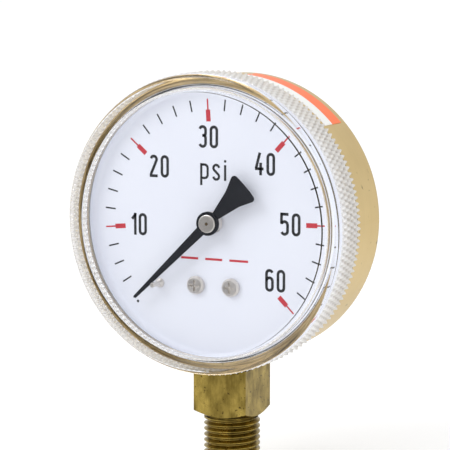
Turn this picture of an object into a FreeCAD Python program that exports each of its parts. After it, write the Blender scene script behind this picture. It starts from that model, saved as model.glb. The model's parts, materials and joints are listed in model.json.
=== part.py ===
"""Bourdon tube pressure gauge with a brass case, a clear screw-on lens and a bottom pipe stem.

The row frame has +Z up the stem, its origin at the centre of the stem's lower end, and the dial
facing -Y. Pieces centred on the dial are drawn in a dial frame: x across, y up and z out towards
the reader, with its origin at the centre of the dial's printed face.
"""
import FreeCAD, Part
import math
import os
import re
import Sketcher
from FreeCAD import Placement, Rotation, Vector

DIMENSIONS = [
    # (name, millimetres or degrees, meaning)
    ("dial_height", 62.0, "dial centre above the stem's lower end"),
    ("dial_ahead", 9.3, "printed dial face ahead of the stem axis"),
    ("case_radius", 34.6, "case outside"),
    ("case_wall", 1.4, "case side wall"),
    ("case_rim", 3.5, "front rim of the case, ahead of the dial face"),
    ("case_back", 19.3, "outside of the case's back, behind the dial face"),
    ("back_wall", 1.2, "case back wall"),
    ("case_edge", 1.0, "rounding of the case's back edge"),
    ("case_rim_round", 0.5, "rounding of the rim's outer edge"),
    ("case_screw_hole", 1.7, "case screw holes in the case back"),
    ("case_screw_radius", 1.45, "case screw shanks and their tapped holes"),
    ("case_screw_length", 6.0, "case screws under the head"),
    ("case_screw_head", 2.6, "case screw heads"),
    ("case_screw_rise", 1.6, "height of the case screw heads"),
    ("case_screw_boss", 2.8, "bosses of the socket round the case screws"),
    ("lens_radius", 36.0, "lens outside"),
    ("lens_skirt_bore", 34.85, "inside of the lens skirt, running over the case"),
    ("lens_skirt_end", 3.4, "rear end of the lens skirt, behind the dial face"),
    ("lens_front", 9.0, "front face of the lens"),
    ("lens_window", 1.8, "thickness of the window"),
    ("lens_flange_drop", 0.8, "flange round the window, behind the lens's front"),
    ("lens_window_edge", 31.0, "edge of the raised window"),
    ("lens_corner", 1.4, "rounding of the lens's front corner"),
    ("lens_seat", 3.7, "lens shoulder that stops over the case rim"),
    ("lip_outer", 33.1, "outside of the lens's inner lip"),
    ("lip_inner", 32.4, "inside of the lens's inner lip"),
    ("lip_end", 2.5, "rear end of the inner lip, over the gasket and the dial's rim"),
    ("gasket_inner", 32.75, "gasket inside"),
    ("gasket_outer", 33.1, "gasket outside"),
    ("gasket_rear", 2.05, "gasket rear face"),
    ("gasket_front", 2.4, "gasket front face"),
    ("label_start", 5.0, "start of the label, degrees clockwise from the top"),
    ("label_end", 47.5, "end of the label, degrees clockwise from the top"),
    ("label_front", 6.5, "front edge of the label, behind the dial face"),
    ("label_rear", 16.0, "rear edge of the label, behind the dial face"),
    ("label_thickness", 0.12, "label film"),
    ("plug_up", 17.0, "relief plug above the dial centre"),
    ("plug_hole_radius", 4.0, "relief hole in the case back"),
    ("plug_flange", 1.2, "relief plug past its hole, inside and out"),
    ("plug_fit", 0.05, "relief plug clear of its hole"),
    ("thread_radius", 6.86, "crest of the stem's pipe thread"),
    ("thread_pitch", 1.411, "18 threads to the inch"),
    ("thread_depth", 1.05, "depth of the thread"),
    ("thread_root", 0.06, "half width of the thread at its root"),
    ("thread_flank", 28.0, "slope of the thread flanks, degrees"),
    ("thread_over", 0.2, "groove section past the crest"),
    ("thread_length", 13.2, "threaded length"),
    ("thread_end", 0.1, "pitches from the groove's end to the blank's, which turns the end to the back"),
    ("stem_neck_radius", 5.9, "relieved neck above the thread"),
    ("flats", 14.0, "across the wrench flats"),
    ("flats_bottom", 13.6, "lower end of the wrench block"),
    ("flats_top", 25.7, "upper end of the wrench block"),
    ("block_chamfer", 25.0, "slope of the wrench block's lower corners, degrees"),
    ("block_inset", 0.4, "chamfer circle inside the flats"),
    ("collar_length", 7.0, "collar from the wrench block into the socket"),
    ("collar_radius", 5.0, "round collar through the case"),
    ("inlet_radius", 1.6, "pressure bore"),
    ("inlet_length", 25.0, "depth of the pressure bore"),
    ("passage_radius", 1.0, "narrower passage above the pressure bore"),
    ("passage_end", 36.0, "height where the passage ends in the socket head"),
    ("drilling_radius", 0.8, "slanted drilling from the passage to the tube's foot"),
    ("socket_front", 9.0, "face that carries the movement, behind the dial face"),
    ("socket_rear", 16.1, "rear of the socket head"),
    ("socket_top", 11.5, "top of the socket head, below the dial centre"),
    ("socket_half_width", 6.5, "right side of the socket head from the stem axis"),
    ("lug_left", 11.0, "left side of the socket head, where the tube is brazed"),
    ("lug_bottom", 28.0, "bottom of the socket head and lug, below the dial centre"),
    ("base_bottom", 32.0, "bottom of the socket base, below the dial centre"),
    ("base_top", 25.0, "top of the socket base, below the dial centre"),
    ("base_front", 4.3, "front of the socket base, behind the dial face"),
    ("tube_radius", 24.0, "centre line of the Bourdon tube"),
    ("tube_depth", 12.5, "centre line of the tube behind the dial face"),
    ("tube_width", 6.0, "flattened tube, along the dial axis"),
    ("tube_thickness", 2.6, "flattened tube, across the coil"),
    ("tube_wall", 0.35, "tube wall"),
    ("tube_foot", -165.0, "foot of the tube, degrees clockwise from the top"),
    ("tube_tip", 125.0, "free end of the tube, degrees clockwise from the top"),
    ("pocket_fit", 0.06, "tube pocket over the tube"),
    ("pocket_sweep", 30.0, "tube pocket round the dial axis, degrees"),
    ("cap_over", 0.5, "tube end cap over the tube"),
    ("cap_sweep", 4.5, "rear end of the cap past the tube, degrees"),
    ("plate", 1.0, "movement plates"),
    ("plate_corner", 1.2, "rounded corners of the movement plates"),
    ("pillar_rivet", 0.9, "pillar rivets in the back plate"),
    ("pillar_shoulder", 1.6, "pillar shoulders"),
    ("pillar_waist", 1.25, "pillar waists"),
    ("pillar_tapping", 0.7, "tapped holes in the pillars"),
    ("plate_screw_radius", 0.68, "plate screw shanks"),
    ("plate_screw_length", 2.4, "plate screws under the head"),
    ("plate_screw_head", 1.25, "plate screw heads"),
    ("plate_screw_seat", 1.3, "seats of the plate screws"),
    ("plate_screw_sink", 0.5, "depth of those seats"),
    ("mount_screw_radius", 0.8, "mount screw shanks and their tapped holes"),
    ("mount_screw_hole", 1.0, "mount screw holes in the back plate"),
    ("mount_screw_length", 4.0, "mount screws under the head"),
    ("mount_screw_head", 1.7, "mount screw heads"),
    ("mount_screw_rise", 0.7, "height of the mount screw heads"),
    ("stud_radius", 0.6, "hairspring stud"),
    ("back_plate_front", 8.0, "front of the back plate, behind the dial face"),
    ("front_plate_rear", 1.8, "rear of the front plate, behind the dial face"),
    ("pivot_radius", 0.47, "arbor pivots"),
    ("pivot_bore", 0.5, "pivot holes in the plates"),
    ("sector_pivot", 15.4, "sector arbor below the dial centre"),
    ("gear_module", 0.2, "tooth module of pinion and sector"),
    ("pinion_teeth", 14, "teeth on the pinion"),
    ("sector_teeth", 140, "teeth a full sector wheel would have"),
    ("pressure_angle", 20.0, "pressure angle of the teeth, degrees"),
    ("tooth_rise", 0.95, "tooth tip past the pitch circle, in modules"),
    ("tooth_fall", 1.25, "tooth root inside the pitch circle, in modules"),
    ("tooth_backlash", 0.03, "thinning of each tooth at the pitch circle"),
    ("pinion_width", 2.4, "length of the pinion teeth"),
    ("sector_rear", 5.6, "rear face of the sector"),
    ("sector_thickness", 1.0, "sector blank"),
    ("sector_hub", 2.6, "sector hub"),
    ("sector_shaft", 0.9, "sector arbor between its pivots"),
    ("window_inner", 5.2, "inner edge of the sector's window"),
    ("sector_land", 1.6, "sector rim between the window and the teeth"),
    ("tail_half_width", 1.5, "half width of the sector's tail"),
    ("sector_lean", 13.5, "sector's lean to the right at rest, degrees"),
    ("tail_radius", 7.0, "link screw from the sector arbor"),
    ("tail_angle", -56.5, "link screw's direction at rest, degrees from +X"),
    ("tip_pin_across", 13.6, "tube's link pin to the right of the dial centre"),
    ("tip_pin_down", 11.0, "tube's link pin below the dial centre"),
    ("tip_pin_radius", 0.5, "link pin in the tube's end piece"),
    ("tip_pin_depth", 3.0, "link pin into the end piece, behind the link"),
    ("tip_pin_head", 1.1, "head of that pin"),
    ("tip_eye", 1.4, "eye of the end piece round its pin"),
    ("link_rear", 6.6, "rear face of the link"),
    ("link_thickness", 0.8, "link bar"),
    ("link_half_width", 1.35, "half width of the link bar"),
    ("link_eye_screw", 0.64, "link eye on the sector screw"),
    ("link_eye_pin", 0.7, "link eye on the tube's pin"),
    ("link_screw_radius", 0.6, "shoulder of the link screw"),
    ("link_screw_head", 1.2, "head of the link screw"),
    ("spring_inner", 1.72, "inner end of the hairspring"),
    ("spring_outer", 5.0, "outer end of the hairspring"),
    ("spring_turns", 4.5, "turns of the hairspring"),
    ("spring_half", 0.07, "half thickness of the hairspring strip"),
    ("spring_width", 0.7, "width of the hairspring strip"),
    ("spring_rear", 7.55, "rear of the hairspring, behind the dial face"),
    ("collet_radius", 1.6, "hairspring collet"),
    ("collet_rear", 7.75, "rear of the collet, behind the dial face"),
    ("collet_front", 6.7, "front of the collet, behind the dial face"),
    ("dial_radius", 33.2, "outside of the dial's upturned rim"),
    ("dial_thickness", 0.8, "dial plate"),
    ("dial_rim_inner", 32.6, "inside of the dial's upturned rim"),
    ("dial_rim_top", 2.0, "top of the dial's upturned rim"),
    ("dial_rim_round", 1.2, "rounding between the dial's face and its rim"),
    ("dial_screw_across", 4.65, "dial screws from the centre line"),
    ("dial_screw_down", 15.45, "dial screws below the dial centre"),
    ("dial_screw_radius", 0.98, "dial screw shanks"),
    ("dial_screw_length", 2.2, "dial screws under the head"),
    ("dial_screw_rise", 1.25, "height of the dial screw heads"),
    ("dial_screw_hole", 1.2, "dial screw holes in the dial"),
    ("dial_screw_tapping", 1.0, "dial screw holes in the front plate"),
    ("dial_hole", 1.6, "hole in the dial round the arbor"),
    ("screw_head_radius", 2.2, "dial screw heads"),
    ("stop_across", -14.5, "stop pin from the centre line"),
    ("stop_down", 15.6, "stop pin below the dial centre"),
    ("stop_radius", 0.6, "stop pin"),
    ("stop_top", 4.4, "front end of the stop pin"),
    ("stop_collar", 1.15, "collar of the stop pin"),
    ("stop_rivet", 1.0, "riveted end of the stop pin"),
    ("pointer_rest", -133.8, "pointer at rest, degrees clockwise from the top"),
    ("pointer_rear", 3.0, "rear face of the pointer blade"),
    ("pointer_thickness", 0.4, "pointer blade"),
    ("pointer_length", 27.4, "pointer tip from the dial centre"),
    ("blade_root", 1.15, "half width of the blade at the hub"),
    ("blade_tip", 0.36, "half width of the blade at its tip"),
    ("fan_radius", 13.5, "outer edge of the counterweight, on its centre line"),
    ("fan_corner_reach", 13.2, "corners of the counterweight along the pointer"),
    ("fan_half_width", 4.25, "corners of the counterweight across the pointer"),
    ("hub_radius", 2.85, "pointer hub"),
    ("hub_rise", 0.35, "pointer hub ahead of the blade"),
    ("arbor_tip", 0.4, "arbor's front end, through the hub and cap"),
    ("arbor_front", 4.15, "front end of the arbor"),
    ("bush_radius", 2.6, "pointer bush"),
    ("bush_rear", 0.4, "rear face of the bush"),
    ("cap_radius", 2.15, "pointer cap"),
    ("cap_rise", 0.36, "pointer cap ahead of the hub"),
    ("cap_edge", 0.2, "bevel of the pointer cap"),
    ("arbor_radius", 0.8, "pinion arbor"),
]

document = FreeCAD.newDocument("pressure_gauge")
sheet = document.addObject("Spreadsheet::Sheet", "Sizes")
for row, (alias, number, meaning) in enumerate(DIMENSIONS, start=1):
    sheet.set(f"A{row}", meaning)
    sheet.set(f"B{row}", str(number))
    sheet.setAlias(f"B{row}", alias)
document.recompute()
ALIASES = {alias for alias, number, meaning in DIMENSIONS}
sub_parts = []


# ---- sizes and expressions -------------------------------------------------------------------

def linked(text):
    """The expression with each sheet name written as Sizes.name."""
    def full_name(word):
        return "Sizes." + word[0] if word[0] in ALIASES else word[0]

    return re.sub(r"[A-Za-z_]\w*", full_name, str(text))


def size(text):
    """The present value of an expression over the sheet."""
    return float(sheet.evalExpression(str(text)))


def bind(thing, **expressions):
    """Bind properties of an object to expressions over the sheet."""
    for name, text in expressions.items():
        thing.setExpression(name.replace("__", "."), linked(text))


def dial_point(x, y, z):
    """A point of the dial frame in the row frame, from expressions."""
    return Vector(size(x), -size("dial_ahead") - size(z), size("dial_height") + size(y))


DIAL_TURN = Rotation(Vector(1, 0, 0), 90)


def place_on_dial(thing, x="0", y="0", z="0", spin=0.0):
    """Stand an object on the dial frame: its own z comes out of the dial, turned by spin degrees."""
    thing.Placement = Placement(dial_point(x, y, z), DIAL_TURN * Rotation(Vector(0, 0, 1), spin))
    bind(thing, Placement__Base__x=x, Placement__Base__y=f"-dial_ahead - ({z})",
         Placement__Base__z=f"dial_height + ({y})")


def keep(thing, label):
    """Name a sub-part, which is exported under that name."""
    thing.Label = label
    sub_parts.append(thing)
    return thing


# ---- sketches and features -------------------------------------------------------------------

def new_body(name):
    return document.addObject("PartDesign::Body", name + "_body")


def new_sketch(body, name, role="XY_Plane", offset="0"):
    plane = next(item for item in body.Origin.OriginFeatures if item.Role == role)
    sketch = body.newObject("Sketcher::SketchObject", name)
    sketch.AttachmentSupport = [(plane, "")]
    sketch.MapMode = "FlatFace"
    sketch.AttachmentOffset = Placement(Vector(0, 0, size(offset)), Rotation())
    bind(sketch, AttachmentOffset__Base__z=offset)
    return sketch


def pin_point(sketch, geometry, end, x, y):
    """Fix one point of a sketch at a place given by two expressions."""
    for kind, text in (("DistanceX", x), ("DistanceY", y)):
        index = sketch.addConstraint(Sketcher.Constraint(kind, -1, 1, geometry, end, size(text)))
        sketch.setExpression(f"Constraints[{index}]", linked(text))


def outline(sketch, corners):
    """A closed outline of straight edges through corners given as pairs of expressions."""
    first = sketch.GeometryCount
    places = [Vector(size(x), size(y), 0) for x, y in corners]
    count = len(places)
    for index in range(count):
        sketch.addGeometry(Part.LineSegment(places[index], places[(index + 1) % count]))
    for index in range(count):
        following = first + (index + 1) % count
        sketch.addConstraint(Sketcher.Constraint("Coincident", first + index, 2, following, 1))
    for index, (x, y) in enumerate(corners):
        pin_point(sketch, first + index, 1, x, y)


def circle(sketch, x, y, radius):
    """A circle with its centre and radius given by expressions."""
    centre = Vector(size(x), size(y), 0)
    geometry = sketch.addGeometry(Part.Circle(centre, Vector(0, 0, 1), size(radius)))
    pin_point(sketch, geometry, 3, x, y)
    index = sketch.addConstraint(Sketcher.Constraint("Radius", geometry, size(radius)))
    sketch.setExpression(f"Constraints[{index}]", linked(radius))


def upright_slot(sketch, x, y, width, height):
    """A round-ended slot standing along the sketch's y, centred at x, y."""
    across, centre = size(x), size(y)
    end = size(width) / 2
    reach = size(height) / 2 - end
    right_low, right_high = Vector(across + end, centre - reach, 0), Vector(across + end, centre + reach, 0)
    left_high, left_low = Vector(across - end, centre + reach, 0), Vector(across - end, centre - reach, 0)
    top = Part.Circle(Vector(across, centre + reach, 0), Vector(0, 0, 1), end)
    bottom = Part.Circle(Vector(across, centre - reach, 0), Vector(0, 0, 1), end)
    right = sketch.addGeometry(Part.LineSegment(right_low, right_high))
    crown = sketch.addGeometry(Part.ArcOfCircle(top, 0, math.pi))
    left = sketch.addGeometry(Part.LineSegment(left_high, left_low))
    foot = sketch.addGeometry(Part.ArcOfCircle(bottom, math.pi, 2 * math.pi))
    for before, after in ((right, crown), (crown, left), (left, foot), (foot, right)):
        sketch.addConstraint(Sketcher.Constraint("Tangent", before, 2, after, 1))
    pin_point(sketch, right, 1, f"{x} + ({width}) / 2", f"{y} - ({height}) / 2 + ({width}) / 2")
    pin_point(sketch, left, 1, f"{x} - ({width}) / 2", f"{y} + ({height}) / 2 - ({width}) / 2")


def pad(body, sketch, name, length):
    feature = body.newObject("PartDesign::Pad", name)
    feature.Profile = sketch
    bind(feature, Length=length)
    return feature


def pocket(body, sketch, name, reversed_cut=False):
    """Cut a sketch right through the body, away from the sketch's normal unless reversed."""
    document.recompute()
    before = body.Shape.Volume
    feature = body.newObject("PartDesign::Pocket", name)
    feature.Profile = sketch
    feature.Type = "ThroughAll"
    feature.Reversed = reversed_cut
    document.recompute()
    if not feature.Shape.Volume < before - 1e-6:
        raise RuntimeError(f"{name} cuts nothing")
    return feature


def turned(name, corners, angle=360):
    """A body turned about its own z from a half outline of (radius, z) expressions."""
    body = new_body(name)
    sketch = new_sketch(body, name + "_profile", "XZ_Plane")
    outline(sketch, corners)
    feature = body.newObject("PartDesign::Revolution", name + "_turning")
    feature.Profile = sketch
    feature.ReferenceAxis = (sketch, ["V_Axis"])
    feature.Angle = angle
    document.recompute()
    return body


def round_edges(body, radius, wanted):
    """Round the circular edges whose radius and own z are listed, each pair given by expressions."""
    base = body.Tip
    places = [(size(edge_radius), size(level)) for edge_radius, level in wanted]
    names = []
    for index, edge in enumerate(base.Shape.Edges, start=1):
        if not isinstance(edge.Curve, Part.Circle):
            continue
        found = (edge.Curve.Radius, edge.Curve.Center.z)
        if any(math.dist(found, place) < 1e-4 for place in places):
            names.append(f"Edge{index}")
    if len(names) < len(places):
        raise RuntimeError(f"{body.Label}: an edge to round is missing")
    feature = body.newObject("PartDesign::Fillet", body.Label + "_rounding")
    feature.Base = (base, names)
    bind(feature, Radius=radius)
    document.recompute()
    return feature


def flat_plate(name, corners, z, thickness, holes=(), corner_radius=None):
    """A plate cut from sheet, from z up by its thickness, with round holes (x, y, radius)."""
    body = new_body(name)
    sketch = new_sketch(body, name + "_outline", "XY_Plane", z)
    outline(sketch, corners)
    pad(body, sketch, name + "_sheet", thickness)
    document.recompute()
    if corner_radius:
        base = body.Tip
        upright = [f"Edge{index}" for index, edge in enumerate(base.Shape.Edges, start=1)
                   if abs(edge.Vertexes[0].Z - edge.Vertexes[-1].Z) > 1e-6]
        feature = body.newObject("PartDesign::Fillet", name + "_corners")
        feature.Base = (base, upright)
        bind(feature, Radius=corner_radius)
    if holes:
        drilled = new_sketch(body, name + "_holes", "XY_Plane", f"{z} + ({thickness})")
        for x, y, radius in holes:
            circle(drilled, x, y, radius)
        pocket(body, drilled, name + "_drilling")
    return body


def cylinder(name, radius, height, z="0", x="0", y="0"):
    """A Part cylinder standing in the dial frame."""
    thing = document.addObject("Part::Cylinder", name)
    bind(thing, Radius=radius, Height=height)
    place_on_dial(thing, x, y, z)
    return thing


def block(name, low, high):
    """A Part box between two corners of the dial frame, given by expressions."""
    thing = document.addObject("Part::Box", name)
    bind(thing, Length=f"({high[0]}) - ({low[0]})", Width=f"({high[1]}) - ({low[1]})",
         Height=f"({high[2]}) - ({low[2]})")
    place_on_dial(thing, *low)
    return thing


def fused(name, pieces):
    thing = document.addObject("Part::MultiFuse", name)
    thing.Shapes = pieces
    thing.Refine = True
    return thing


def cut(name, base, tools):
    thing = document.addObject("Part::Cut", name)
    thing.Base = base
    thing.Tool = tools[0] if len(tools) == 1 else fused(name + "_cutters", tools)
    return thing


def group(name, pieces):
    """Several equal pieces kept in one sub-part as separate solids."""
    thing = document.addObject("Part::Compound", name)
    thing.Links = pieces
    return thing


# ---- case ------------------------------------------------------------------------------------

CASE_SCREWS = [("-4.4", "-22"), ("4.4", "-22")]


def make_case():
    inside = "case_radius - case_wall"
    body = turned("case", [
        ("0", "-case_back"), ("case_radius", "-case_back"), ("case_radius", "case_rim"),
        (inside, "case_rim"), (inside, "-case_back + back_wall"), ("0", "-case_back + back_wall")])
    round_edges(body, "case_edge", [("case_radius", "-case_back")])
    round_edges(body, "case_rim_round", [("case_radius", "case_rim")])
    back_holes = new_sketch(body, "case_back_holes", "XY_Plane", "-case_back + back_wall")
    circle(back_holes, "0", "plug_up", "plug_hole_radius")
    for x, y in CASE_SCREWS:
        circle(back_holes, x, y, "case_screw_hole")
    pocket(body, back_holes, "case_back_drilling")
    stem_hole = new_sketch(body, "case_stem_hole", "XZ_Plane")
    circle(stem_hole, "0", "-dial_ahead", "collar_radius + 0.1")
    side_hole_down = stem_hole.Placement.Rotation.multVec(Vector(0, 0, 1)).y > 0
    pocket(body, stem_hole, "case_stem_drilling", reversed_cut=not side_hole_down)
    place_on_dial(body)
    keep(body, "case")


def make_case_label():
    """A film label that follows the case wall from its start angle to its end angle."""
    body = new_body("case_label")
    sketch = new_sketch(body, "case_label_profile", "XZ_Plane")
    outline(sketch, [
        ("case_radius", "-label_rear"), ("case_radius + label_thickness", "-label_rear"),
        ("case_radius + label_thickness", "-label_front"), ("case_radius", "-label_front")])
    feature = body.newObject("PartDesign::Revolution", "case_label_wrap")
    feature.Profile = sketch
    feature.ReferenceAxis = (sketch, ["V_Axis"])
    bind(feature, Angle="label_end - label_start")
    # The sweep starts on the body's x and turns anticlockwise, so it starts at the label's far end.
    place_on_dial(body, spin=90 - size("label_end"))
    keep(body, "case_label")


def pan_screw(name, head_radius, head_height, shank_radius, shank_length, crown="0.35"):
    """A pan-head screw: its head stands on z = 0 and its shank runs down."""
    body = turned(name, [
        ("0", f"-({shank_length})"), (f"{shank_radius} * 0.7", f"-({shank_length})"),
        (shank_radius, f"-({shank_length}) + {shank_radius} * 0.4"), (shank_radius, "0"),
        (head_radius, "0"), (head_radius, f"({head_height}) - {crown}"),
        (f"({head_radius}) * 0.82", head_height), ("0", head_height)])
    return body


def cross_recess(body, name, head_height, reach, width, depth):
    """A cross-shaped driver recess in a screw head."""
    sketch = new_sketch(body, name, "XY_Plane", f"({head_height}) - ({depth})")
    a, b = f"({width}) / 2", f"({reach}) / 2"
    outline(sketch, [
        (a, a), (b, a), (b, f"-{a}"), (a, f"-{a}"), (a, f"-{b}"), (f"-{a}", f"-{b}"),
        (f"-{a}", f"-{a}"), (f"-{b}", f"-{a}"), (f"-{b}", a), (f"-{a}", a), (f"-{a}", b), (a, b)])
    pocket(body, sketch, name + "_broach", reversed_cut=True)


def make_case_screws():
    screws = []
    for index, (x, y) in enumerate(CASE_SCREWS):
        screw = pan_screw(f"case_screw_{index}", "case_screw_head", "case_screw_rise", "case_screw_radius",
                          "case_screw_length")
        cross_recess(screw, f"case_screw_recess_{index}", "case_screw_rise", "2.8", "0.6", "0.9")
        place_on_dial(screw, x, y, "-case_back")
        screw.Placement = screw.Placement * Placement(Vector(), Rotation(Vector(0, 1, 0), 180))
        screws.append(screw)
    keep(group("case_screw_set", screws), "case_screws")


def make_relief_plug():
    """A soft plug that seals the relief hole in the case back and blows out under pressure."""
    wall = "back_wall"
    body = turned("relief_plug", [
        ("0", "-0.9"), ("plug_hole_radius + 0.9", "-0.9"), ("plug_hole_radius + plug_flange", "-0.6"),
        ("plug_hole_radius + plug_flange", "0"), ("plug_hole_radius - plug_fit", "0"),
        ("plug_hole_radius - plug_fit", wall),
        ("plug_hole_radius + 0.4", f"{wall} + 0.3"), ("plug_hole_radius - 0.5", f"{wall} + plug_flange"),
        ("0", f"{wall} + plug_flange")])
    place_on_dial(body, "0", "plug_up", "-case_back")
    keep(body, "relief_plug")


# ---- socket and Bourdon tube -----------------------------------------------------------------

def upright_cylinder(name, radius, height, z="0"):
    """A Part cylinder on the stem axis."""
    thing = document.addObject("Part::Cylinder", name)
    bind(thing, Radius=radius, Height=height, Placement__Base__z=z)
    return thing


def make_stem_thread():
    """The threaded end: a turned blank with one helical groove of the pipe thread's pitch."""
    body = turned("stem_thread", [
        ("0", "0"), ("thread_radius - thread_depth", "0"), ("thread_radius", "thread_depth * 0.8"),
        ("thread_radius", "thread_length"), ("0", "thread_length")])
    groove = new_sketch(body, "thread_groove", "XZ_Plane")
    root, past = "thread_radius - thread_depth", "thread_radius + thread_over"
    half_mouth = "(thread_root + (thread_depth + thread_over) * tan(thread_flank * 1deg))"
    outline(groove, [
        (root, "-thread_root"), (past, f"-{half_mouth}"), (past, half_mouth), (root, "thread_root")])
    helix = body.newObject("PartDesign::SubtractiveHelix", "thread_cut")
    helix.Profile = groove
    helix.ReferenceAxis = (groove, ["V_Axis"])
    helix.Mode = 0
    helix.LeftHanded = False
    bind(helix, Pitch="thread_pitch", Height="thread_length - thread_pitch * thread_end")
    document.recompute()
    return body


def make_socket_stem():
    """The brass forging: thread, wrench block, collar through the case and socket head, in one piece."""
    thread = make_stem_thread()
    neck = upright_cylinder("stem_neck", "stem_neck_radius", "flats_bottom - thread_length + 1",
                            "thread_length - 0.5")
    square = document.addObject("Part::Box", "wrench_square")
    bind(square, Length="flats", Width="flats", Height="flats_top - flats_bottom",
         Placement__Base__x="-flats / 2", Placement__Base__y="-flats / 2", Placement__Base__z="flats_bottom")
    turned_limit = document.addObject("Part::Cone", "wrench_chamfer_cone")
    bind(turned_limit, Radius1="flats / 2 - block_inset", Radius2="flats / 2 - block_inset + 30",
         Height="30 * tan(block_chamfer * 1deg)", Placement__Base__z="flats_bottom")
    wrench_block = document.addObject("Part::Common", "wrench_block")
    wrench_block.Base = square
    wrench_block.Tool = turned_limit
    collar = upright_cylinder("case_collar", "collar_radius", "collar_length", "flats_top - 0.5")
    right = "socket_half_width"
    base = block("socket_base", ("-socket_half_width", "-base_bottom", "-socket_rear"),
                 (right, "-base_top", "-base_front"))
    head = block("socket_head", ("-lug_left", "-lug_bottom", "-socket_rear"),
                 (right, "-socket_top", "-socket_front"))
    solids = [thread, neck, wrench_block, collar, base, head]
    for index, (x, y) in enumerate(CASE_SCREWS):
        boss = "case_back - back_wall - socket_rear"
        solids.append(cylinder(f"case_screw_boss_{index}", "case_screw_boss", f"{boss} + 0.5",
                               f"-socket_rear - ({boss})", x, y))
    inlet = upright_cylinder("inlet_bore", "inlet_radius", "inlet_length", "0")
    passage = upright_cylinder("inlet_passage", "passage_radius", "passage_end - inlet_length + 0.1",
                               "inlet_length - 0.1")
    cutters = [inlet, passage]
    for index, (x, y) in enumerate(CASE_SCREWS):
        cutters.append(cylinder(f"case_screw_tapping_{index}", "case_screw_radius", "case_screw_length",
                                "-case_back", x, y))
    for index, (x, y) in enumerate(MOVEMENT_SCREWS):
        cutters.append(cylinder(f"movement_screw_tapping_{index}", "mount_screw_radius", "mount_screw_length",
                                "-socket_front - 3.5", x, y))
    cutters.append(make_tube_pocket())
    cutters.append(make_cross_passage())
    socket = cut("socket_forging", fused("socket_blank", solids), cutters)
    keep(socket, "socket_stem")


def swept_slot(name, grow, start, end):
    """A flattened-tube section carried round the dial axis from one clock angle to another."""
    body = new_body(name)
    sketch = new_sketch(body, name + "_section", "XZ_Plane")
    upright_slot(sketch, "tube_radius", "-tube_depth", f"tube_thickness + {grow}", f"tube_width + {grow}")
    feature = body.newObject("PartDesign::Revolution", name + "_sweep")
    feature.Profile = sketch
    feature.ReferenceAxis = (sketch, ["V_Axis"])
    bind(feature, Angle=f"({end}) - ({start})")
    place_on_dial(body, spin=90 - size(end))
    return body


def make_tube_pocket():
    """The curved pocket in the socket head that holds the tube's foot."""
    return swept_slot("tube_pocket", "pocket_fit", "tube_foot", "tube_foot + pocket_sweep")


def make_cross_passage():
    """A slanted drilling from the inlet's passage to the foot of the tube."""
    foot = math.radians(size("tube_foot"))
    radius = size("tube_radius")
    start = dial_point(radius * math.sin(foot) - 1.0, radius * math.cos(foot) + 0.2, "-tube_depth + 0.6")
    target = Vector(0, 0, size("passage_end") - 1.2)
    drill = document.addObject("Part::Cylinder", "cross_passage")
    drill.Radius = size("drilling_radius")
    drill.Height = (target - start).Length
    drill.Placement = Placement(start, Rotation(Vector(0, 0, 1), target - start))
    return drill


def make_bourdon_tube():
    """The flattened C-shaped tube, open along its length, that uncoils under pressure."""
    outer = swept_slot("tube_outside", "0", "tube_foot", "tube_tip")
    inner = swept_slot("tube_inside", "-2 * tube_wall", "tube_foot", "tube_tip")
    tube = cut("tube_section", outer, [inner])
    keep(tube, "bourdon_tube")


def clock(radius, angle):
    """Dial frame x and y of a point at a clock angle in degrees."""
    turn = math.radians(angle)
    return radius * math.sin(turn), radius * math.cos(turn)


def make_tube_end_piece():
    """The cap brazed into the tube's free end, with an arm that reaches in to the link."""
    plug = swept_slot("tip_plug", "-2 * tube_wall - 0.12", "tube_tip - 5", "tube_tip + 1")
    cap = swept_slot("tip_cap", "cap_over", "tube_tip + 0.2", "tube_tip + cap_sweep")
    pin_x, pin_y = "tip_pin_across", "-tip_pin_down"
    end_x, end_y = clock(size("tube_radius"), size("tube_tip") + 2.9)
    along = Vector(size(pin_x) - end_x, size(pin_y) - end_y, 0)
    side = Vector(-along.y, along.x, 0).normalize()
    at_cap, at_eye = side * 0.7, side * 1.3
    eye_x, eye_y = size(pin_x), size(pin_y)
    corners = [(end_x + at_cap.x, end_y + at_cap.y), (end_x - at_cap.x, end_y - at_cap.y),
               (eye_x - at_eye.x, eye_y - at_eye.y), (eye_x + at_eye.x, eye_y + at_eye.y)]
    arm_rear, arm_front = "-tube_depth + 1.5", "-link_rear - 0.25"
    arm = flat_plate("tip_arm", corners, arm_rear, f"({arm_front}) - ({arm_rear})")
    place_on_dial(arm)
    eye = cylinder("tip_eye_ring", "tip_eye", f"({arm_front}) - ({arm_rear})", arm_rear, pin_x, pin_y)
    hole = cylinder("tip_pin_hole", "tip_pin_radius", "tip_pin_depth + 0.2", "-link_rear - tip_pin_depth",
                    pin_x, pin_y)
    end_piece = cut("tip_forging", fused("tip_blank", [plug, cap, arm, eye]), [hole])
    keep(end_piece, "tube_end_piece")


def make_link_tip_pin():
    """The pin riveted into the tube's end piece; the link's eye runs loose on it."""
    front = "-link_rear + link_thickness + 0.15"
    at_pin = ("tip_pin_across", "-tip_pin_down")
    shank = cylinder("tip_pin_shank", "tip_pin_radius", f"({front}) + link_rear + tip_pin_depth",
                     "-link_rear - tip_pin_depth", *at_pin)
    head = cylinder("tip_pin_cap", "tip_pin_head", "0.5", front, *at_pin)
    keep(fused("tip_pin", [shank, head]), "link_tip_pin")


# ---- movement --------------------------------------------------------------------------------

MOVEMENT_SCREWS = [("-3.9", "-20"), ("3.9", "-20")]
PILLARS = [("-9.5", "-2.5"), ("9.5", "-2.5"), ("-8.2", "-16.2")]
STUD = ("-5.69", "0")


def plate_outline():
    """The outline that both movement plates share."""
    return [("-11.3", "3"), ("-11.3", "-18.2"), ("-6.2", "-23.2"), ("6.2", "-23.2"),
            ("7.6", "-16"), ("11.3", "-6"), ("11.3", "0"), ("5", "5.5"), ("-5", "5.5")]


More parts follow.
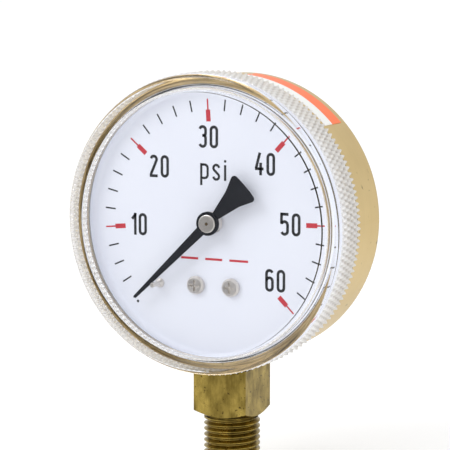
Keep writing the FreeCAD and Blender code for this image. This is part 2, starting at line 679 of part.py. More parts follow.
def make_movement_back_plate():
    holes = [("0", "0", "pivot_bore"), ("0", "-sector_pivot", "pivot_bore"), (*STUD, "stud_radius")]
    holes += [(x, y, "pillar_rivet") for x, y in PILLARS]
    holes += [(x, y, "mount_screw_hole") for x, y in MOVEMENT_SCREWS]
    rear = "-back_plate_front - plate"
    plate = flat_plate("movement_back_plate", plate_outline(), rear, "plate", holes, "plate_corner")
    place_on_dial(plate)
    keep(plate, "movement_back_plate")


def make_movement_front_plate():
    holes = [("0", "0", "arbor_radius + 0.04"), ("0", "-sector_pivot", "pivot_bore")]
    holes += [(x, y, "pillar_tapping + 0.05") for x, y in PILLARS]
    holes += [(f"{side} * dial_screw_across", "-dial_screw_down", "dial_screw_tapping") for side in (-1, 1)]
    plate = flat_plate("movement_front_plate", plate_outline(), "-front_plate_rear", "plate", holes,
                       "plate_corner")
    sunk = new_sketch(plate, "plate_screw_seats", "XY_Plane", "-front_plate_rear + plate - plate_screw_sink")
    for x, y in PILLARS:
        circle(sunk, x, y, "plate_screw_seat")
    pocket(plate, sunk, "plate_screw_sinking", reversed_cut=True)
    place_on_dial(plate)
    keep(plate, "movement_front_plate")


def make_movement_pillars():
    """Three turned pillars, each riveted in the back plate and tapped for a front screw."""
    span = "back_plate_front - front_plate_rear"
    pillars = []
    for index, (x, y) in enumerate(PILLARS):
        pillar = turned(f"pillar_{index}", [
            ("0", "-plate"), ("pillar_rivet", "-plate"), ("pillar_rivet", "0"), ("pillar_shoulder", "0"),
            ("pillar_shoulder", "1.2"), ("pillar_waist", "1.6"), ("pillar_waist", f"{span} - 1.6"),
            ("pillar_shoulder", f"{span} - 1.2"), ("pillar_shoulder", span), ("pillar_tapping", span),
            ("pillar_tapping", f"{span} - plate_screw_length"), ("0", f"{span} - plate_screw_length")])
        place_on_dial(pillar, x, y, "-back_plate_front")
        pillars.append(pillar)
    keep(group("pillar_set", pillars), "movement_pillars")


def make_movement_plate_screws():
    """Cheese-head screws sunk flush in the front plate, one into each pillar."""
    screws = []
    for index, (x, y) in enumerate(PILLARS):
        screw = turned(f"plate_screw_{index}", [
            ("0", "-plate_screw_length"), ("plate_screw_radius", "-plate_screw_length"),
            ("plate_screw_radius", "0"), ("plate_screw_head", "0"),
            ("plate_screw_head", "plate_screw_sink - 0.05"), ("0", "plate_screw_sink - 0.05")])
        slot = new_sketch(screw, f"plate_screw_slot_{index}", "XY_Plane", "0.2")
        outline(slot, [("-1.4", "-0.15"), ("1.4", "-0.15"), ("1.4", "0.15"), ("-1.4", "0.15")])
        pocket(screw, slot, f"plate_screw_slotting_{index}", reversed_cut=True)
        place_on_dial(screw, x, y, "-front_plate_rear + plate - plate_screw_sink")
        screws.append(screw)
    keep(group("plate_screw_set", screws), "movement_plate_screws")


def make_movement_mount_screws():
    """The two screws that hold the back plate on the socket head."""
    screws = []
    for index, (x, y) in enumerate(MOVEMENT_SCREWS):
        screw = pan_screw(f"mount_screw_{index}", "mount_screw_head", "mount_screw_rise",
                          "mount_screw_radius", "mount_screw_length", "0.2")
        slot = new_sketch(screw, f"mount_screw_slot_{index}", "XY_Plane", "0.35")
        outline(slot, [("-1.9", "-0.2"), ("1.9", "-0.2"), ("1.9", "0.2"), ("-1.9", "0.2")])
        pocket(screw, slot, f"mount_screw_slotting_{index}", reversed_cut=True)
        place_on_dial(screw, x, y, "-back_plate_front")
        screws.append(screw)
    keep(group("mount_screw_set", screws), "movement_mount_screws")


def tooth_half_angle(teeth, module, radius):
    """Half the angle that an involute tooth spans at a radius, in radians."""
    pitch_radius = teeth * module / 2
    base_radius = pitch_radius * math.cos(math.radians(size("pressure_angle")))
    at_pitch = (math.pi * module / 2 - size("tooth_backlash")) / 2 / pitch_radius
    pressure = math.acos(base_radius / pitch_radius)
    local = math.acos(min(1.0, base_radius / radius))
    return at_pitch + (math.tan(pressure) - pressure) - (math.tan(local) - local)


def tooth_points(teeth, module, middle):
    """One tooth's outline, root to tip to root, about the wheel's centre at the angle middle."""
    pitch_radius = teeth * module / 2
    root, tip = pitch_radius - size("tooth_fall") * module, pitch_radius + size("tooth_rise") * module
    base_radius = pitch_radius * math.cos(math.radians(size("pressure_angle")))
    foot = max(root, base_radius)
    radii = [foot + (tip - foot) * step / 4 for step in range(5)]
    flank = [(radius, tooth_half_angle(teeth, module, radius)) for radius in radii]
    if foot > root:
        flank.insert(0, (root, flank[0][1]))
    right = [(radius, middle - half) for radius, half in flank]
    left = [(radius, middle + half) for radius, half in reversed(flank)]
    return [Vector(radius * math.cos(angle), radius * math.sin(angle), 0) for radius, angle in right + left]


def make_pinion_arbor():
    """The pointer's arbor with its pinion: back pivot, body, and the seat that carries the pointer."""
    shaft = turned("arbor_shaft", [
        ("0", "-back_plate_front - plate + 0.1"), ("pivot_radius", "-back_plate_front - plate + 0.1"),
        ("pivot_radius", "-back_plate_front + 0.1"), ("arbor_radius", "-back_plate_front + 0.1"),
        ("arbor_radius", "pointer_rear"), ("arbor_tip", "pointer_rear"), ("arbor_tip", "arbor_front"),
        ("0", "arbor_front")])
    place_on_dial(shaft)
    teeth = int(size("pinion_teeth"))
    module = size("gear_module")
    points = []
    for index in range(teeth):
        # A gap faces straight down, towards the sector.
        middle = -math.pi / 2 + 2 * math.pi * (index + 0.5) / teeth
        points += tooth_points(teeth, module, middle)
    points.append(points[0])
    wheel = document.addObject("Part::Feature", "pinion_teeth_blank")
    wheel.Shape = Part.Face(Part.makePolygon(points)).extrude(Vector(0, 0, size("pinion_width")))
    wheel.Placement = Placement(dial_point("0", "0", "-sector_rear - 0.7"), DIAL_TURN)
    keep(fused("arbor_and_pinion", [shaft, wheel]), "pinion_arbor")


def make_sector_gear():
    """The toothed sector with its tail; the tail's end carries the link screw."""
    teeth = int(size("sector_teeth"))
    module = size("gear_module")
    pitch_radius = teeth * module / 2
    root = pitch_radius - size("tooth_fall") * module
    lean = math.radians(size("sector_lean"))
    pitch_angle = 2 * math.pi / teeth
    # A tooth stands straight up at the pinion when the sector is at rest; the fan leans from there.
    above = round((math.radians(size("sector_lean")) + math.radians(3)) / pitch_angle)
    centre_step = round(lean / pitch_angle)
    points = [Vector(0, 0, 0)]
    for step in range(centre_step + above, centre_step - above - 1, -1):
        points += tooth_points(teeth, module, math.pi / 2 - step * pitch_angle)
    points.append(points[0])
    half_fan = (above + 0.6) * pitch_angle
    fan = Part.Face(Part.makePolygon(points)).extrude(Vector(0, 0, size("sector_thickness")))
    window_half = half_fan - math.radians(6.5)
    window = ring_part(size("window_inner"), root - size("sector_land"), math.pi / 2 - lean, window_half,
                       size("sector_thickness"))
    hub = Part.makeCylinder(size("sector_hub"), size("sector_thickness"))
    tail_turn = math.radians(size("tail_angle"))
    tail_end = Vector(math.cos(tail_turn), math.sin(tail_turn), 0) * size("tail_radius")
    tail = bar(Vector(0, 0, 0), tail_end, size("tail_half_width"), size("sector_thickness"))
    blank = fan.cut(window).fuse([hub, tail]).removeSplitter()
    blank = blank.cut(Part.makeCylinder(size("sector_shaft"), 3, Vector(0, 0, -1)))
    blank = blank.cut(Part.makeCylinder(size("link_screw_radius"), 3, tail_end - Vector(0, 0, 1)))
    sector = document.addObject("Part::Feature", "sector_blank")
    sector.Shape = blank
    sector.Placement = Placement(dial_point("0", "-sector_pivot", "-sector_rear"), DIAL_TURN)
    keep(sector, "sector_gear")


def ring_part(inner, outer, middle, half, height):
    """A slab between two radii, spread by half an angle each side of a middle direction."""
    start, end = math.degrees(middle - half), math.degrees(middle + half)
    wedge_outer = Part.makeCylinder(outer, height, Vector(), Vector(0, 0, 1), end - start)
    wedge_inner = Part.makeCylinder(inner, height)
    wedge_outer.rotate(Vector(), Vector(0, 0, 1), start)
    return wedge_outer.cut(wedge_inner)


def bar(start, end, half_width, height):
    """A flat bar with round ends between two points."""
    along = end - start
    slab = Part.makeBox(along.Length, 2 * half_width, height, Vector(0, -half_width, 0))
    slab.Placement = Placement(start, Rotation(Vector(1, 0, 0), along))
    ends = [Part.makeCylinder(half_width, height, point) for point in (start, end)]
    return slab.fuse(ends).removeSplitter()


def make_sector_arbor():
    arbor = turned("sector_arbor", [
        ("0", "-back_plate_front - plate + 0.1"), ("pivot_radius", "-back_plate_front - plate + 0.1"),
        ("pivot_radius", "-back_plate_front + 0.1"), ("sector_shaft", "-back_plate_front + 0.1"),
        ("sector_shaft", "-front_plate_rear - 0.1"), ("pivot_radius", "-front_plate_rear - 0.1"),
        ("pivot_radius", "-front_plate_rear + plate - 0.1"), ("0", "-front_plate_rear + plate - 0.1")])
    place_on_dial(arbor, "0", "-sector_pivot")
    keep(arbor, "sector_arbor")


def tail_hole():
    """Dial frame x and y of the link screw at rest."""
    turn = math.radians(size("tail_angle"))
    return size("tail_radius") * math.cos(turn), size("tail_radius") * math.sin(turn) - size("sector_pivot")


def make_link():
    """The flat bar from the sector's tail to the tube's end piece, eyed at both ends."""
    tail = Vector(*tail_hole(), 0)
    tip = Vector(size("tip_pin_across"), -size("tip_pin_down"), 0)
    thickness = size("link_thickness")
    shape = bar(tail, tip, size("link_half_width"), thickness)
    shape = shape.cut(Part.makeCylinder(size("link_eye_screw"), 3, tail - Vector(0, 0, 1)))
    shape = shape.cut(Part.makeCylinder(size("link_eye_pin"), 3, tip - Vector(0, 0, 1)))
    link = document.addObject("Part::Feature", "link_bar")
    link.Shape = shape
    link.Placement = Placement(dial_point("0", "0", "-link_rear"), DIAL_TURN)
    keep(link, "link")


def make_link_sector_screw():
    """The shoulder screw that holds the link under the sector's tail."""
    x, y = tail_hole()
    screw = turned("link_screw", [
        ("0", "-link_rear - 0.55"), ("link_screw_head", "-link_rear - 0.55"),
        ("link_screw_head", "-link_rear - 0.05"), ("link_screw_radius", "-link_rear - 0.05"),
        ("link_screw_radius", "-sector_rear + sector_thickness"),
        ("0", "-sector_rear + sector_thickness")])
    place_on_dial(screw, x, y)
    keep(screw, "link_sector_screw")


# ---- hairspring ------------------------------------------------------------------------------

def make_hairspring():
    """A flat spiral strip from the collet out to the stud."""
    inner, outer, turns = size("spring_inner"), size("spring_outer"), size("spring_turns")
    steps = 24
    half = size("spring_half")
    count = int(turns * steps)

    def strip_edge(shift):
        spots = []
        for index in range(count + 1):
            part_way = index / count
            radius = inner + (outer - inner) * part_way + shift
            angle = 2 * math.pi * turns * part_way
            spots.append(Vector(radius * math.cos(angle), radius * math.sin(angle), 0))
        curve = Part.BSplineCurve()
        curve.interpolate(spots)
        return curve.toShape(), spots

    inside, inside_spots = strip_edge(-half)
    outside, outside_spots = strip_edge(half)
    ends = [Part.makeLine(inside_spots[index], outside_spots[index]) for index in (0, -1)]
    face = Part.Face(Part.Wire(Part.__sortEdges__([inside, outside, *ends])))
    spring = document.addObject("Part::Feature", "hairspring_strip")
    spring.Shape = face.extrude(Vector(0, 0, size("spring_width")))
    spring.Placement = Placement(dial_point("0", "0", "-spring_rear"), DIAL_TURN)
    keep(spring, "hairspring")


def make_hairspring_collet():
    collet = turned("hairspring_collet", [
        ("arbor_radius", "-collet_rear"), ("collet_radius", "-collet_rear"),
        ("collet_radius", "-collet_front"), ("arbor_radius", "-collet_front")])
    place_on_dial(collet)
    keep(collet, "hairspring_collet")


def make_hairspring_stud():
    """The post on the back plate that grips the hairspring's outer end."""
    stud = turned("hairspring_stud", [
        ("0", "-plate"), ("stud_radius", "-plate"), ("stud_radius", "1.5"), ("0", "1.5")])
    place_on_dial(stud, *STUD, "-back_plate_front")
    keep(stud, "hairspring_stud")


# ---- dial and pointer ------------------------------------------------------------------------

def make_dial():
    """The dished dial: a flat printed face with a rounded, upturned rim."""
    body = turned("dial", [
        ("0", "-dial_thickness"), ("dial_radius", "-dial_thickness"), ("dial_radius", "dial_rim_top"),
        ("dial_rim_inner", "dial_rim_top"), ("dial_rim_inner", "0"), ("0", "0")])
    round_edges(body, "dial_rim_round", [("dial_rim_inner", "0"), ("dial_radius", "-dial_thickness")])
    holes = new_sketch(body, "dial_holes", "XY_Plane", "0")
    circle(holes, "0", "0", "dial_hole")
    circle(holes, "stop_across", "-stop_down", "stop_radius")
    for side in (-1, 1):
        circle(holes, f"{side} * dial_screw_across", "-dial_screw_down", "dial_screw_hole")
    pocket(body, holes, "dial_piercing")
    place_on_dial(body)
    keep(body, "dial")


def make_dial_screws():
    screws = []
    for index, side in enumerate((-1, 1)):
        screw = pan_screw(f"dial_screw_{index}", "screw_head_radius", "dial_screw_rise", "dial_screw_radius",
                          "dial_screw_length", "0.4")
        cross_recess(screw, f"dial_screw_recess_{index}", "dial_screw_rise", "2.6", "0.55", "0.8")
        place_on_dial(screw, f"{side} * dial_screw_across", "-dial_screw_down", "0")
        screws.append(screw)
    keep(group("dial_screw_set", screws), "dial_screws")


def make_stop_pin():
    """The pin riveted through the dial that the pointer rests against."""
    pin = turned("stop_pin", [
        ("0", "-dial_thickness - 0.4"), ("stop_rivet", "-dial_thickness - 0.4"),
        ("stop_rivet", "-dial_thickness"), ("stop_radius", "-dial_thickness"), ("stop_radius", "0"),
        ("stop_collar", "0"), ("stop_collar - 0.05", "0.45"), ("stop_radius", "0.95"),
        ("stop_radius", "stop_top - 0.2"), ("stop_radius - 0.15", "stop_top"), ("0", "stop_top")])
    place_on_dial(pin, "stop_across", "-stop_down")
    keep(pin, "stop_pin")


def make_pointer():
    """The black sheet pointer: a tapered blade, a round hub and a fan-shaped counterweight."""
    rear, thickness = size("pointer_rear"), size("pointer_thickness")
    length, fan = size("pointer_length"), size("fan_radius")
    root, tip = size("blade_root"), size("blade_tip")
    fan_corner, fan_end = size("fan_half_width"), size("fan_corner_reach")
    half_outline = [Vector(tip, length, 0), Vector(root, 3, 0), Vector(1.05, -3, 0), Vector(2.45, -9, 0)]
    corner = Vector(fan_corner, -fan_end, 0)
    right = [*half_outline, corner]
    left = [Vector(-point.x, point.y, 0) for point in reversed(right)]
    sides = Part.makePolygon([*left, *right])
    rim = Part.Arc(right[-1], Vector(0, -fan, 0), left[0]).toShape()
    sheet_metal = Part.Face(Part.Wire([*sides.Edges, rim])).extrude(Vector(0, 0, thickness))
    corners = [edge for edge in sheet_metal.Edges
               if all(abs(end.X) > fan_corner - 0.01 for end in edge.Vertexes) and len(edge.Vertexes) == 2
               and abs(edge.Vertexes[0].Z - edge.Vertexes[1].Z) > 0.01]
    sheet_metal = sheet_metal.makeFillet(0.8, corners)
    hub = Part.makeCylinder(size("hub_radius"), thickness + size("hub_rise"))
    shape = sheet_metal.fuse(hub).removeSplitter()
    shape = shape.cut(Part.makeCylinder(size("arbor_tip"), 3, Vector(0, 0, -1)))
    pointer = document.addObject("Part::Feature", "pointer_sheet")
    pointer.Shape = shape
    turn = Rotation(Vector(0, 0, 1), -size("pointer_rest"))
    pointer.Placement = Placement(dial_point("0", "0", rear), DIAL_TURN * turn)
    keep(pointer, "pointer")


def make_pointer_bush():
    """The bright bush, staked under the pointer, that grips the arbor."""
    bush = turned("pointer_bush", [
        ("arbor_radius", "bush_rear"), ("bush_radius - 0.3", "bush_rear"),
        ("bush_radius", "bush_rear + 0.3"), ("bush_radius", "pointer_rear"),
        ("arbor_radius", "pointer_rear")])
    slot = new_sketch(bush, "bush_slot", "XY_Plane", "0.9")
    outline(slot, [("-3", "-0.35"), ("3", "-0.35"), ("3", "0.35"), ("-3", "0.35")])
    document.recompute()
    slotting = bush.newObject("PartDesign::Pocket", "bush_slotting")
    slotting.Profile = slot
    slotting.Reversed = True
    slotting.Length = 0.8
    place_on_dial(bush, spin=-size("pointer_rest"))
    keep(bush, "pointer_bush")


def make_pointer_cap():
    """The polished cap over the hub, with the arbor's end showing through its centre."""
    seat = "pointer_rear + pointer_thickness + hub_rise"
    cap = turned("pointer_cap", [
        ("arbor_tip", seat), ("cap_radius", seat), ("cap_radius", f"{seat} + cap_rise - 0.14"),
        ("cap_radius - cap_edge", f"{seat} + cap_rise"), ("arbor_tip", f"{seat} + cap_rise")])
    place_on_dial(cap)
    keep(cap, "pointer_cap")


# ---- lens ------------------------------------------------------------------------------------

def make_lens():
    """The clear moulded lens: a raised window, a lip over the dial's rim and a skirt over the case."""
    under, flange = "lens_front - lens_window", "lens_front - lens_flange_drop"
    body = turned("lens", [
        ("0", under), ("lip_inner", under), ("lip_inner", "lip_end"), ("lip_outer", "lip_end"),
        ("lip_outer", "lens_seat"), ("lens_skirt_bore", "lens_seat"), ("lens_skirt_bore", "-lens_skirt_end"),
        ("lens_radius", "-lens_skirt_end"), ("lens_radius", flange),
        ("lens_window_edge + lens_flange_drop", flange), ("lens_window_edge", "lens_front"),
        ("0", "lens_front")])
    round_edges(body, "lens_corner", [("lens_radius", flange)])
    place_on_dial(body)
    keep(body, "lens")


def make_lens_gasket():
    gasket = turned("lens_gasket", [
        ("gasket_inner", "gasket_rear"), ("gasket_outer", "gasket_rear"),
        ("gasket_outer", "gasket_front"), ("gasket_inner", "gasket_front")])
    place_on_dial(gasket)
    keep(gasket, "lens_gasket")


# ---- build, check and export -----------------------------------------------------------------

def check_document():
    document.recompute()
    for thing in document.Objects:
        if "Invalid" in thing.State or "Error" in thing.State:
            raise RuntimeError(f"{thing.Label} failed: {thing.State}")
    for thing in sub_parts:
        if thing.Shape.isNull() or not thing.Shape.isValid():
            raise RuntimeError(f"{thing.Label} has no valid shape")


def export_parts():
    os.makedirs("parts", exist_ok=True)
    for thing in sub_parts:
        thing.Shape.exportStep(f"parts/{thing.Label}.step")
        print(f"{thing.Label}: {len(thing.Shape.Solids)} solid(s), {thing.Shape.Volume:.2f} mm3")


make_case()
make_case_label()
make_case_screws()
make_relief_plug()
make_socket_stem()
make_bourdon_tube()
make_tube_end_piece()
make_link_tip_pin()
make_movement_back_plate()
make_movement_front_plate()
make_movement_pillars()
make_movement_plate_screws()
make_movement_mount_screws()
make_pinion_arbor()
make_sector_gear()
make_sector_arbor()
make_link()
make_link_sector_screw()
make_hairspring()
make_hairspring_collet()
make_hairspring_stud()
make_dial()
make_dial_screws()
make_stop_pin()
make_pointer()
make_pointer_bush()
make_pointer_cap()
make_lens()
make_lens_gasket()
check_document()
export_parts()
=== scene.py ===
"""Looks of a Bourdon tube pressure gauge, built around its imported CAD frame.

Sizes are in millimetres and become metres through MM. Pieces on the dial are placed in the dial
frame: x across, y up and z out to the reader, from the centre of the printed face. The places of
the lamp, the camera and the dark card are in metres.
"""
import json
import math
import bpy
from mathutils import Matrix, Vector


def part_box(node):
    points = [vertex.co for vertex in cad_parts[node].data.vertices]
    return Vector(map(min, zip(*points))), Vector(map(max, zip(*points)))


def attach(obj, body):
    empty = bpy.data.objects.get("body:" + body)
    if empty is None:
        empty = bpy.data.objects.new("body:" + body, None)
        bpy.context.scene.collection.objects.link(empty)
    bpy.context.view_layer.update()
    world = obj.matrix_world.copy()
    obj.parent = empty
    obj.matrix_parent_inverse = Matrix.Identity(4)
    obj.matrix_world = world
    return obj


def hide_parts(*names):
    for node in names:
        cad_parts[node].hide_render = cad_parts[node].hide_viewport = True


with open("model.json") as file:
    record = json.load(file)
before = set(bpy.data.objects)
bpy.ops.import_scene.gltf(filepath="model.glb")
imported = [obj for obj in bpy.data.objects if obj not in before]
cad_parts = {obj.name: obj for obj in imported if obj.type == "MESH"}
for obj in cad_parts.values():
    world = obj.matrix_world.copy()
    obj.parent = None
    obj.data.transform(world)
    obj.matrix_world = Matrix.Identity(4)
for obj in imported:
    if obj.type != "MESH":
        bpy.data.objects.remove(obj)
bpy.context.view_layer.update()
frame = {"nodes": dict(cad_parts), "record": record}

nodes = frame["nodes"]
MM = 0.001

dial_low, dial_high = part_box("dial")
DIAL_THICKNESS = 0.8
DIAL_Y = dial_high[1] - DIAL_THICKNESS * MM
DIAL_Z = (dial_low[2] + dial_high[2]) / 2

LENS_FRONT, LENS_UNDER, LENS_FLANGE = 9.0, 7.2, 8.3
WINDOW_RINGS = (12.0, 24.0, 30.5)    # rings of points across the flat window
WINDOW_EDGE, WINDOW_FOOT = 31.45, 31.52
FLANGE_RINGS = (31.9, 34.0)
CORNER_CENTRE, CORNER_RADIUS = 34.4, 1.4
SKIRT_FOOT, SKIRT_BORE, SKIRT_SHOULDER = 35.3, 34.85, 3.7
LIP_OUTER, LIP_INNER, LIP_END = 33.1, 32.4, 2.5
LIP_BEVEL = 0.1
LIP_TOP = 6.3
UNDER_CORNER = 0.8       # rounding from the lip to the window's underside
KNURLS = 154             # round the skirt
KNURL_FRONT, KNURL_REAR = 6.5, -3.4
KNURL_PITCH = (KNURL_FRONT - KNURL_REAR) / 2.5
KNURL_MID, KNURL_HEIGHT = 35.6, 0.45
KNURL_COLUMNS = 6        # mesh columns in each bump and its gap
KNURL_ROWS = 24          # mesh rows along the skirt


def on_dial(x, y, z=0.0):
    """A point of the dial frame, in millimetres, as a place in the row frame, in metres."""
    return Vector((x * MM, DIAL_Y - z * MM, DIAL_Z + y * MM))


# ---- materials -------------------------------------------------------------------------------

class Finish:
    """A node material being wired. Its methods add a node and return the output to use."""

    def __init__(self, name, color, metallic=0.0, roughness=0.5, **constants):
        self.material = bpy.data.materials.new(name)
        self.material.use_nodes = True
        self.tree = self.material.node_tree
        self.shader = self.tree.nodes["Principled BSDF"]
        self.shader.inputs["Base Color"].default_value = (*color, 1.0)
        self.shader.inputs["Metallic"].default_value = metallic
        self.shader.inputs["Roughness"].default_value = roughness
        for socket, number in constants.items():
            self.shader.inputs[socket.replace("_", " ")].default_value = number
        self.place = self.add("ShaderNodeTexCoord").outputs["Object"]

    def add(self, kind, **settings):
        node = self.tree.nodes.new(kind)
        for name, setting in settings.items():
            setattr(node, name, setting)
        return node

    def feed(self, socket, source):
        """Link a source to a socket, or set the socket where the source is a plain value."""
        if isinstance(source, bpy.types.NodeSocket):
            self.tree.links.new(source, socket)
        else:
            socket.default_value = source

    def calc(self, operation, first, second=0.0):
        node = self.add("ShaderNodeMath", operation=operation)
        self.feed(node.inputs[0], first)
        self.feed(node.inputs[1], second)
        return node.outputs[0]

    def scaled(self, vector, factors):
        node = self.add("ShaderNodeVectorMath", operation="MULTIPLY")
        self.feed(node.inputs[0], vector)
        node.inputs[1].default_value = factors
        return node.outputs[0]

    def noise(self, vector, scale, detail=3.0, roughness=0.5):
        node = self.add("ShaderNodeTexNoise")
        self.feed(node.inputs["Vector"], vector)
        node.inputs["Scale"].default_value = scale
        node.inputs["Detail"].default_value = detail
        node.inputs["Roughness"].default_value = roughness
        return node.outputs["Fac"]

    def span(self, value, low, high, to_low=0.0, to_high=1.0):
        """A value mapped from one span to another, clamped."""
        node = self.add("ShaderNodeMapRange")
        self.feed(node.inputs["Value"], value)
        ends = {"From Min": low, "From Max": high, "To Min": to_low, "To Max": to_high}
        for name, number in ends.items():
            node.inputs[name].default_value = number
        return node.outputs["Result"]

    def blend(self, factor, first, second):
        """A colour between two, each a colour or an output."""
        node = self.add("ShaderNodeMix", data_type="RGBA")
        self.feed(node.inputs["Factor"], factor)
        for socket, color in ((node.inputs["A"], first), (node.inputs["B"], second)):
            self.feed(socket, (*color, 1.0) if isinstance(color, tuple) else color)
        return node.outputs["Result"]

    def color(self, source):
        self.feed(self.shader.inputs["Base Color"], source)
        return self

    def rough(self, source):
        self.feed(self.shader.inputs["Roughness"], source)
        return self

    def relief(self, height, depth):
        """Bump of a given depth, in millimetres."""
        node = self.add("ShaderNodeBump")
        node.inputs["Distance"].default_value = depth * MM
        self.feed(node.inputs["Height"], height)
        self.feed(self.shader.inputs["Normal"], node.outputs["Normal"])
        return self

    def axes(self, centre=(0.0, 0.0, 0.0)):
        """x, y and z outputs of the place, measured from a centre."""
        moved = self.add("ShaderNodeVectorMath", operation="SUBTRACT")
        self.feed(moved.inputs[0], self.place)
        moved.inputs[1].default_value = centre
        split = self.add("ShaderNodeSeparateXYZ")
        self.feed(split.inputs[0], moved.outputs[0])
        return split.outputs

    def lathe(self):
        """Fine turning lines round the dial's axis: noise that runs long round the axis."""
        x, y, z = self.axes(DIAL_CENTRE)
        square = self.calc("ADD", self.calc("MULTIPLY", x, x), self.calc("MULTIPLY", z, z))
        radius = self.calc("SQRT", square)
        turn = self.calc("ARCTAN2", x, z)
        join = self.add("ShaderNodeCombineXYZ")
        self.feed(join.inputs[0], self.calc("MULTIPLY", radius, LINES_ACROSS))
        self.feed(join.inputs[1], self.calc("MULTIPLY", y, LINES_ACROSS))
        self.feed(join.inputs[2], self.calc("MULTIPLY", turn, LINES_ROUND))
        return self.noise(join.outputs[0], 1.0, 4.0, 0.62)


DIAL_CENTRE = (0.0, DIAL_Y, DIAL_Z)
CASE_LOW, CASE_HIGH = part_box("case")
RIM_FADE = (0.9, 0.5)        # behind the case's front edge, where the bare rim starts and is full
BACK_FADE = (1.4, 0.2)       # ahead of the case's back, where its brown edge starts and is full
LINES_ACROSS, LINES_ROUND = 2600.0, 2.2     # how fine the turning lines are across and round the axis
LINE_DEPTH = 0.004


def brass(name, light, dark, roughness):
    """Turned or brushed brass, with a slow tarnish and fine lines round the dial's axis."""
    finish = Finish(name, light, metallic=1.0, roughness=roughness)
    lines = finish.lathe()
    tarnish = finish.noise(finish.place, 75.0, 4.0)
    tone = finish.calc("ADD", finish.calc("MULTIPLY", lines, 0.55), finish.calc("MULTIPLY", tarnish, 0.45))
    finish.color(finish.blend(finish.span(tone, 0.36, 0.64), dark, light))
    finish.rough(finish.span(lines, 0.3, 0.7, roughness * 0.82, roughness * 1.22))
    return finish.relief(lines, LINE_DEPTH).material


def case_brass(name):
    """Spun brass, browner on its bare front rim and round its back edge, with a few dark specks. The rim's
    turning lines swing from dark brown to gold: partly real lines, partly painted highlight.
    """
    finish = Finish(name, (0.68, 0.52, 0.24), metallic=1.0, roughness=0.34)
    lines = finish.lathe()
    tarnish = finish.noise(finish.place, 75.0, 4.0)
    tone = finish.calc("ADD", finish.calc("MULTIPLY", lines, 0.55), finish.calc("MULTIPLY", tarnish, 0.45))
    body = finish.blend(finish.span(tone, 0.36, 0.64), (0.55, 0.405, 0.17), (0.645, 0.49, 0.225))
    depth = finish.axes()[1]
    rim = finish.span(depth, *[CASE_LOW[1] + reach * MM for reach in RIM_FADE])
    back = finish.span(depth, *[CASE_HIGH[1] - reach * MM for reach in BACK_FADE])
    # Front rim: turning lines in strong dark brown and gold, the gold streaks partly painted highlight.
    bare = finish.blend(finish.span(lines, 0.4, 0.6), (0.30, 0.20, 0.085), (0.70, 0.52, 0.26))
    body = finish.blend(rim, body, bare)
    body = finish.blend(back, body, (0.36, 0.27, 0.11))
    specks = finish.noise(finish.place, 520.0, 2.0)
    finish.color(finish.blend(finish.span(specks, 0.70, 0.76), body, (0.30, 0.22, 0.09)))
    finish.rough(finish.span(lines, 0.3, 0.7, 0.28, 0.42))
    return finish.relief(lines, LINE_DEPTH).material


def stem_brass(name):
    """Forged and machined brass: mottled olive stains, faint upright drawing lines, small pits."""
    finish = Finish(name, (0.36, 0.27, 0.07), metallic=1.0, roughness=0.32)
    stain = finish.noise(finish.scaled(finish.place, (1.0, 1.0, 0.6)), 260.0, 6.0, 0.62)
    lines = finish.noise(finish.scaled(finish.place, (1.0, 1.0, 0.04)), 2600.0, 3.0)
    tone = finish.calc("ADD", finish.calc("MULTIPLY", stain, 0.85), finish.calc("MULTIPLY", lines, 0.15))
    body = finish.blend(finish.span(tone, 0.38, 0.62), (0.17, 0.12, 0.026), (0.39, 0.285, 0.07))
    pits = finish.noise(finish.place, 1100.0, 2.0)
    finish.color(finish.blend(finish.span(pits, 0.65, 0.71), body, (0.07, 0.045, 0.015)))
    finish.rough(finish.span(stain, 0.35, 0.65, 0.38, 0.24))
    return finish.relief(finish.calc("ADD", stain, lines), 0.012).material


def metal(name, light, dark, roughness, scale=900.0, depth=0.004):
    """Plated or ground metal, with a fine even grain."""
    finish = Finish(name, light, metallic=1.0, roughness=roughness)
    grain = finish.noise(finish.scaled(finish.place, (1.0, 1.0, 3.5)), scale, 4.0)
    stain = finish.noise(finish.place, 120.0)
    finish.color(finish.blend(finish.span(stain, 0.35, 0.65), dark, light))
    finish.rough(finish.span(grain, 0.3, 0.7, roughness * 0.8, roughness * 1.25))
    return finish.relief(grain, depth).material


def enamel(name, color, shade, roughness, shine):
    """Sprayed enamel: a faint orange peel and a slow drift of colour."""
    finish = Finish(name, color, roughness=roughness, Specular_IOR_Level=shine)
    peel = finish.noise(finish.place, 1400.0, 2.0)
    drift = finish.noise(finish.place, 40.0)
    finish.color(finish.blend(finish.span(drift, 0.35, 0.65), shade, color))
    finish.rough(finish.span(peel, 0.3, 0.7, roughness * 0.9, roughness * 1.1))
    return finish.relief(peel, 0.002).material


def ink(name, color, shade):
    """Screen-printed ink, slightly uneven in density."""
    finish = Finish(name, color, roughness=0.5)
    density = finish.noise(finish.place, 2600.0, 3.0)
    finish.color(finish.blend(finish.span(density, 0.35, 0.7), shade, color))
    return finish.relief(density, 0.003).material


def rubber(name, color):
    """Moulded rubber with a fine, dull grain."""
    finish = Finish(name, color, roughness=0.7)
    grain = finish.noise(finish.place, 2200.0, 4.0)
    finish.color(finish.blend(finish.span(grain, 0.3, 0.7), tuple(c * 0.6 for c in color), color))
    return finish.relief(grain, 0.01).material


def let_lamps_through(finish, shader):
    """Let the lamps' light straight through a clear finish to what is behind it."""
    path = finish.add("ShaderNodeLightPath")
    through = finish.add("ShaderNodeBsdfTransparent")
    through.inputs["Color"].default_value = (0.95, 0.96, 0.97, 1.0)
    mix = finish.add("ShaderNodeMixShader")
    finish.feed(mix.inputs[0], path.outputs["Is Shadow Ray"])
    finish.feed(mix.inputs[1], shader.outputs[0])
    finish.feed(mix.inputs[2], through.outputs[0])
    finish.feed(finish.tree.nodes["Material Output"].inputs["Surface"], mix.outputs[0])
    return finish.material


